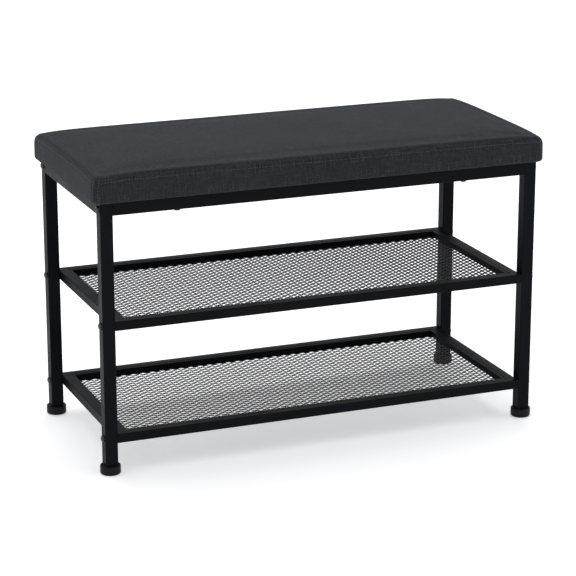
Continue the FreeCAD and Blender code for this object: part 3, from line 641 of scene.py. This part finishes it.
def make_mesh_panel(level, metal, finish):
    """A shelf's raised expanded metal, from the zigzag strand repeated both ways."""
    low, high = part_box(f"{level}_mesh")
    size = high - low
    columns = round(size.x / metal.long_way)
    chains = 2 * round(size.y / metal.short_way)
    strand = make_strand_period(f"{level}_mesh_strands", metal)
    tilt_strand(strand, metal)
    twin = copy_piece(strand, "strand_twin")
    twin.location = (metal.long_way / 2, metal.short_way / 2, 0)
    settle(twin)
    pair = join([strand, twin], strand.name)
    apply_modifier(pair, "ARRAY", count=columns + 1, use_relative_offset=False,
                   use_constant_offset=True, constant_offset_displace=(metal.long_way, 0, 0))
    apply_modifier(pair, "ARRAY", count=chains // 2, use_relative_offset=False,
                   use_constant_offset=True, constant_offset_displace=(0, metal.short_way, 0))
    corners = [Vector(corner) for corner in pair.bound_box]
    middle = sum(corners, Vector()) / len(corners)
    top = max(corner.z for corner in corners)
    pair.location = ((low.x + high.x) / 2 - middle.x, (low.y + high.y) / 2 - middle.y, high.z - top)
    settle(pair)
    trim_to_box(pair, low, high)
    if not pair.data.polygons:
        raise RuntimeError(f"the {level} shelf's mesh came out empty")
    pair.data.materials.append(finish)
    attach(pair, FRAME_BODY)
    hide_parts(f"{level}_mesh")
    return pair


def trim_to_box(piece, low, high):
    """Shear the mesh off along the panel's four edges, closing the cut ends."""
    activate(piece)
    bpy.ops.object.mode_set(mode="EDIT")
    for axis, corner, sign in ((0, low, -1), (0, high, 1), (1, low, -1), (1, high, 1)):
        normal = [0, 0, 0]
        normal[axis] = sign
        bpy.ops.mesh.select_all(action="SELECT")
        bpy.ops.mesh.bisect(plane_co=tuple(corner), plane_no=normal, use_fill=True,
                            clear_outer=True)
    bpy.ops.object.mode_set(mode="OBJECT")


# Seat -----------------------------------------------------------------------

def make_seat_block(seat):
    """The cover before it is stuffed: a box with rounded corners, cut into even cells."""
    rise = seat.swell * 0.7        # about what the stuffing lifts the top by
    low = SEAT_LOW + Vector((seat.shrink, seat.shrink, 0))
    high = SEAT_HIGH - Vector((seat.shrink, seat.shrink, rise))
    size = high - low
    block = new_piece("seat_cover_linen", bpy.ops.mesh.primitive_cube_add, size=1,
                      location=(low + high) / 2)
    block.scale = size
    settle(block)

    def is_upright(edge):
        first, second = (block.data.vertices[index].co for index in edge.vertices)
        return abs(first.z - second.z) > size.z / 2

    def is_at(height):
        return lambda edge: all(abs(block.data.vertices[index].co.z - height) < NEAR
                                for index in edge.vertices)

    for wanted, radius, segments in ((is_upright, seat.corner_radius, CORNER_STEPS),
                                     (is_at(high.z), seat.edge_radius, EDGE_STEPS),
                                     (is_at(low.z), seat.hem_radius, HEM_STEPS)):
        edit_select(block, "EDGE", wanted)
        bpy.ops.mesh.bevel(offset=radius, segments=segments, affect="EDGES")
        bpy.ops.object.mode_set(mode="OBJECT")
    inside_x = high.x - seat.corner_radius
    inside_y = high.y - seat.corner_radius
    bisect_everywhere(block, "x", [-inside_x, *span(-inside_x, inside_x, seat.cell), inside_x])
    bisect_everywhere(block, "y", [-inside_y, *span(-inside_y, inside_y, seat.cell), inside_y])
    side_cell = seat.cell * 0.7
    bisect_everywhere(block, "z", span(low.z + seat.hem_radius, high.z - seat.edge_radius, side_cell))
    activate(block)
    bpy.ops.object.mode_set(mode="EDIT")
    bpy.ops.mesh.select_all(action="SELECT")
    bpy.ops.uv.cube_project(cube_size=1.0, correct_aspect=False, scale_to_bounds=False)
    bpy.ops.object.mode_set(mode="OBJECT")
    mark_seams(block, seat, high, inside_x, inside_y)
    pull_corners(block, seat, high)
    return block


def pull_corners(block, seat, high):
    """Let the top fall away to its edges and furthest to its corners, where the cover is tightest,
    and draw the sides in between the corners.

    The higher a power, the flatter the middle and the nearer to the edge the bend."""
    board_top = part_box("seat_board")[1].z
    for vertex in block.data.vertices:
        place = vertex.co
        if place.z <= board_top:
            continue
        share = (place.z - board_top) / (high.z - board_top)
        along, across = abs(place.x) / high.x, abs(place.y) / high.y
        fall = seat.crown * (1 - (1 - along ** 8) * (1 - across ** 3))
        fall += seat.corner_drop * along ** 12 * across ** 4
        place.z -= fall * share
        place.x *= 1 - share * seat.waist * (1 - across ** 4) * along / high.x
        place.y *= 1 - share * seat.waist * (1 - along ** 6) * across / high.y


def ring_height(seat, top, step):
    """Height of one ring of the rounded top edge, counted down from the top face."""
    turn = math.pi / 2 * step / EDGE_STEPS
    return top - seat.edge_radius * (1 - math.cos(turn))


def mark_seams(block, seat, high, inside_x, inside_y):
    """Vertex groups for the seams and for the rows of stitches beside them."""
    seam_z = ring_height(seat, high.z, EDGE_STEPS // 2)
    row_z = ring_height(seat, high.z, EDGE_STEPS // 2 + STITCH_STEPS)
    row_turn = math.pi / 4 - math.pi * STITCH_STEPS / (2 * CORNER_STEPS)
    hem_z = SEAT_LOW.z + seat.hem_radius
    marks = {"top_seam": [], "top_row": [], "corner_seam": [], "corner_row": []}
    for vertex in block.data.vertices:
        place = vertex.co
        if abs(place.z - seam_z) < NEAR:
            marks["top_seam"].append(vertex.index)
        if abs(place.z - row_z) < NEAR:
            marks["top_row"].append(vertex.index)
        out_x, out_y = abs(place.x) - inside_x, abs(place.y) - inside_y
        on_side = hem_z - NEAR < place.z < seam_z + NEAR
        if on_side and min(out_x, out_y) > NEAR:
            turn = math.atan2(out_y, out_x)
            if abs(turn - math.pi / 4) < NEAR_TURN:
                marks["corner_seam"].append(vertex.index)
            if min(abs(turn - row_turn), abs(turn - math.pi / 2 + row_turn)) < NEAR_TURN:
                marks["corner_row"].append(vertex.index)
    for name, indices in marks.items():
        if not indices:
            raise RuntimeError(f"the seat has no vertices on its {name}")
        block.vertex_groups.new(name=name).add(indices, 1.0, "REPLACE")


def in_group(piece, name):
    """Indices of the vertices that belong wholly to a group."""
    number = piece.vertex_groups[name].index
    return {vertex.index for vertex in piece.data.vertices
            for member in vertex.groups if member.group == number and member.weight > 0.9}


def stuff(block, seat):
    """Blow the cover up with the cloth solver, held by the board, and cap how far it goes."""
    rest = [(vertex.co.copy(), vertex.normal.copy()) for vertex in block.data.vertices]
    board_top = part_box("seat_board")[1].z
    held = [index for index, (place, _) in enumerate(rest) if place.z < board_top]
    block.vertex_groups.new(name="held").add(held, 1.0, "REPLACE")
    solve_cloth(block, "held", SEAT_FRAMES, gravity=0, use_pressure=True, uniform_pressure_force=4)
    for vertex, (start, normal) in zip(block.data.vertices, rest):
        move = vertex.co - start
        inward = min(0.0, move.dot(normal))
        move -= normal * inward
        move.x *= SIDEWAYS
        move.y *= SIDEWAYS
        if move.length > 0:
            move *= seat.swell * math.tanh(move.length / seat.swell) / move.length
        vertex.co = start + move
    block.vertex_groups.remove(block.vertex_groups["held"])


def pull_seams(cover, seat):
    """Smooth the cover, then draw its seams into the stuffing."""
    apply_modifier(cover, "SUBSURF", levels=1, render_levels=1)
    sewn = in_group(cover, "top_seam") | in_group(cover, "corner_seam")
    edit_select(cover, "VERT", lambda vertex: vertex.index in sewn)
    bpy.ops.transform.shrink_fatten(value=-seat.seam_depth)
    bpy.ops.object.mode_set(mode="OBJECT")
    bpy.ops.object.shade_smooth()


def trace_rows(cover, group):
    """Curves along the rows of a vertex group, one for each row."""
    members = in_group(cover, group)
    traced = copy_piece(cover, f"{group}_trace")
    edit_select(traced, "EDGE", lambda edge: all(index in members for index in edge.vertices))
    bpy.ops.mesh.duplicate()
    bpy.ops.mesh.separate(type="SELECTED")
    bpy.ops.object.mode_set(mode="OBJECT")
    rows = [piece for piece in bpy.context.selected_objects if piece is not traced]
    bpy.data.objects.remove(traced)
    if not rows:
        raise RuntimeError(f"no row of stitches could be traced along {group}")
    activate(rows[0])
    bpy.ops.object.mode_set(mode="EDIT")
    bpy.ops.mesh.select_all(action="SELECT")
    bpy.ops.mesh.separate(type="LOOSE")
    bpy.ops.object.mode_set(mode="OBJECT")
    rows = list(bpy.context.selected_objects)
    for row in rows:
        activate(row)
        bpy.ops.object.convert(target="CURVE")
    return rows


def make_stitching(cover, seat):
    """Rows of single stitches laid along the cover's seams."""
    stitch = new_piece("stitch", bpy.ops.mesh.primitive_uv_sphere_add, segments=6, ring_count=4,
                       radius=0.5, rotation=(0, math.pi / 2, 0))
    stitch.scale = (seat.thread, seat.thread, seat.stitch_length)
    settle(stitch)
    rows = []
    for group in ("top_row", "corner_row"):
        for index, path in enumerate(trace_rows(cover, group)):
            row = copy_piece(stitch, f"{group}_{index}")
            array = row.modifiers.new("Array", "ARRAY")
            array.fit_type = "FIT_CURVE"
            array.curve = path
            array.use_relative_offset = False
            array.use_constant_offset = True
            array.constant_offset_displace = (seat.stitch_pitch, 0, 0)
            bend = row.modifiers.new("Curve", "CURVE")
            bend.object = path
            activate(row)
            bpy.ops.object.modifier_apply(modifier=array.name)
            bpy.ops.object.modifier_apply(modifier=bend.name)
            bpy.data.objects.remove(path)
            rows.append(row)
    bpy.data.objects.remove(stitch)
    stitching = join(rows, "seat_stitching")
    bpy.ops.object.shade_smooth()
    return stitching


# Underside ------------------------------------------------------------------

def make_underside(sag):
    """The dust cloth under the seat, sagging a little between its staples."""
    low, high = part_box("seat_underside_cloth")
    size = high - low
    middle = (low + high) / 2
    cloth = new_piece("seat_dust_cloth", bpy.ops.mesh.primitive_grid_add, size=1,
                      x_subdivisions=54, y_subdivisions=22, location=middle)
    cloth.scale = (size.x, size.y, 1)
    settle(cloth)
    crowns = [vertex.co.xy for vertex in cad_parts["seat_staples"].data.vertices]
    grip = 8 * MM
    held = [vertex.index for vertex in cloth.data.vertices
            if min((vertex.co.xy - crown).length for crown in crowns) < grip]
    if not held:
        raise RuntimeError("no staple holds the underside cloth")
    cloth.vertex_groups.new(name="held").add(held, 1.0, "REPLACE")
    solve_cloth(cloth, "held", CLOTH_FRAMES, tension_stiffness=40, compression_stiffness=40)
    for vertex in cloth.data.vertices:
        vertex.co.z = max(min(vertex.co.z, middle.z), low.z - sag)
    cloth.vertex_groups.clear()
    apply_modifier(cloth, "SOLIDIFY", thickness=size.z, offset=0)
    smooth_by_angle(cloth, 40)
    return cloth


# Operators ------------------------------------------------------------------

class BENCH_OT_stage(bpy.types.Operator):
    """Lay the floor, hang the soft lights and set up the camera"""

    bl_idname = "bench.stage"
    bl_label = "Stage"

    def execute(self, context):
        stage = context.scene.bench_stage
        context.scene.view_settings.view_transform = "Standard"
        floor = new_piece("studio_floor", bpy.ops.mesh.primitive_plane_add, size=40)
        floor.data.materials.append(floor_finish(stage.floor, stage.floor_glow))
        self.add_lights()
        self.set_world(context, stage)
        self.add_camera(context, stage)
        return {"FINISHED"}

    def add_lights(self):
        """A broad light from the left, a top light and a weak fill."""
        middle = Vector((0, 0, 0.25))
        for name, place, size, power in (
                ("key_light", (-1.5, -1.7, 2.1), 1.4, 3),
                ("top_light", (0.2, 0.9, 2.6), 2.6, 27),
                ("fill_light", (1.6, -3.4, 1.6), 2.0, 3)):
            bpy.ops.object.light_add(type="AREA", location=place)
            light = bpy.context.object
            light.name = name
            light.data.size = size
            light.data.energy = power
            aim = (middle - Vector(place)).to_track_quat("-Z", "Y")
            light.rotation_euler = aim.to_euler()

    def set_world(self, context, stage):
        world = bpy.data.worlds.new("pale_studio")
        context.scene.world = world
        world.use_nodes = True
        background = world.node_tree.nodes["Background"]
        background.inputs["Color"].default_value = (0.97, 0.98, 1.0, 1)
        background.inputs["Strength"].default_value = stage.sky

    def add_camera(self, context, stage):
        flat = math.cos(stage.elevation) * stage.distance
        place = (-math.sin(stage.azimuth) * flat, -math.cos(stage.azimuth) * flat,
                 stage.aim_height + math.sin(stage.elevation) * stage.distance)
        bpy.ops.object.camera_add(location=place)
        camera = context.object
        camera.name = "bench_camera"
        camera.rotation_euler = (math.pi / 2 - stage.elevation, 0, -stage.azimuth)
        camera.data.lens = stage.lens
        camera.data.sensor_width = 36
        camera.data.clip_end = 60
        context.scene.camera = camera


class BENCH_OT_frame_finish(bpy.types.Operator):
    """Powder-coat the legs, rails, shelf frames and rims"""

    bl_idname = "bench.frame_finish"
    bl_label = "Frame Finish"

    def execute(self, context):
        metal = context.scene.bench_metal
        coating = coated_finish("charcoal_powder_coat", metal.coating, metal.coating_roughness,
                                metal.frame_gloss)
        for corner in CORNERS:
            paint_node(f"leg_{corner}", coating)
        for side in SIDES:
            paint_node(f"top_rail_{side}", coating)
            for level in LEVELS:
                paint_node(f"{level}_shelf_{side}", coating)
                paint_node(f"{level}_rim_{side}", coating)
        return {"FINISHED"}


class BENCH_OT_fastener_finish(bpy.types.Operator):
    """Finish the bolts, nuts, tee nuts, staples and studs"""

    bl_idname = "bench.fastener_finish"
    bl_label = "Fastener Finish"

    def execute(self, context):
        oxide = bolt_finish()
        for node in ("top_rail_bolts", "upper_shelf_bolts", "lower_shelf_bolts", "seat_bolts"):
            paint_node(node, oxide)
        zinc = zinc_finish()
        for node in ("rail_end_nuts", "upper_rivet_nuts", "lower_rivet_nuts", "seat_tee_nuts",
                     "seat_staples", *(f"foot_stud_{corner}" for corner in CORNERS)):
            paint_node(node, zinc)
        return {"FINISHED"}


class BENCH_OT_foot_finish(bpy.types.Operator):
    """Finish the feet and the threaded inserts in the legs"""

    bl_idname = "bench.foot_finish"
    bl_label = "Foot Finish"

    def execute(self, context):
        glide = moulded_finish("moulded_foot", (0.006, 0.006, 0.007), 0.45, 1500.0)
        insert = moulded_finish("moulded_insert", (0.02, 0.02, 0.021), 0.5, 1100.0)
        for corner in CORNERS:
            paint_node(f"foot_glide_{corner}", glide)
            paint_node(f"leg_insert_{corner}", insert)
        return {"FINISHED"}


class BENCH_OT_shelf_meshes(bpy.types.Operator):
    """Make the raised expanded-metal panels of both shelves"""

    bl_idname = "bench.shelf_meshes"
    bl_label = "Shelf Meshes"

    def execute(self, context):
        metal = context.scene.bench_metal
        smoother = metal.coating_roughness - 0.06
        coating = coated_finish("coated_mesh", metal.coating, smoother, metal.mesh_gloss)
        for level in LEVELS:
            make_mesh_panel(level, metal, coating)
        return {"FINISHED"}


class BENCH_OT_seat_cover(bpy.types.Operator):
    """Make the padded seat with its sewn linen cover"""

    bl_idname = "bench.seat_cover"
    bl_label = "Seat Cover"

    def execute(self, context):
        seat = context.scene.bench_seat
        block = make_seat_block(seat)
        stuff(block, seat)
        pull_seams(block, seat)
        block.data.materials.clear()
        block.data.materials.append(linen_finish(seat))
        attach(block, FRAME_BODY)
        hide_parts("seat_cover", "seat_foam")
        paint_node("seat_board", plywood_finish())
        stitching = make_stitching(block, seat)
        stitching.data.materials.clear()
        stitching.data.materials.append(thread_finish(seat))
        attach(stitching, FRAME_BODY)
        return {"FINISHED"}


class BENCH_OT_underside(bpy.types.Operator):
    """Make the dust cloth stapled under the seat"""

    bl_idname = "bench.underside"
    bl_label = "Underside"

    def execute(self, context):
        cloth = make_underside(context.scene.bench_seat.sag)
        cloth.data.materials.append(bonded_cloth_finish())
        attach(cloth, FRAME_BODY)
        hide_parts("seat_underside_cloth")
        return {"FINISHED"}


class BENCH_PT_panel(bpy.types.Panel):
    """Buttons that build the bench piece by piece"""

    bl_label = "Entryway Bench"
    bl_idname = "BENCH_PT_panel"
    bl_space_type = "VIEW_3D"
    bl_region_type = "UI"
    bl_category = "Bench"

    def draw(self, context):
        for operator in OPERATORS:
            self.layout.operator(operator.bl_idname)


OPERATORS = (BENCH_OT_stage, BENCH_OT_frame_finish, BENCH_OT_fastener_finish,
             BENCH_OT_foot_finish, BENCH_OT_shelf_meshes, BENCH_OT_seat_cover,
             BENCH_OT_underside)
SETTINGS = (BenchSeatSettings, BenchMetalSettings, BenchStageSettings)


def register():
    for item in (*SETTINGS, *OPERATORS, BENCH_PT_panel):
        bpy.utils.register_class(item)
    bpy.types.Scene.bench_seat = bpy.props.PointerProperty(type=BenchSeatSettings)
    bpy.types.Scene.bench_metal = bpy.props.PointerProperty(type=BenchMetalSettings)
    bpy.types.Scene.bench_stage = bpy.props.PointerProperty(type=BenchStageSettings)


def unregister():
    del bpy.types.Scene.bench_seat
    del bpy.types.Scene.bench_metal
    del bpy.types.Scene.bench_stage
    for item in reversed((*SETTINGS, *OPERATORS, BENCH_PT_panel)):
        bpy.utils.unregister_class(item)


def main():
    register()
    bpy.ops.bench.stage()
    bpy.ops.bench.frame_finish()
    bpy.ops.bench.fastener_finish()
    bpy.ops.bench.foot_finish()
    bpy.ops.bench.shelf_meshes()
    bpy.ops.bench.seat_cover()
    bpy.ops.bench.underside()


if __name__ == "__main__":
    main()
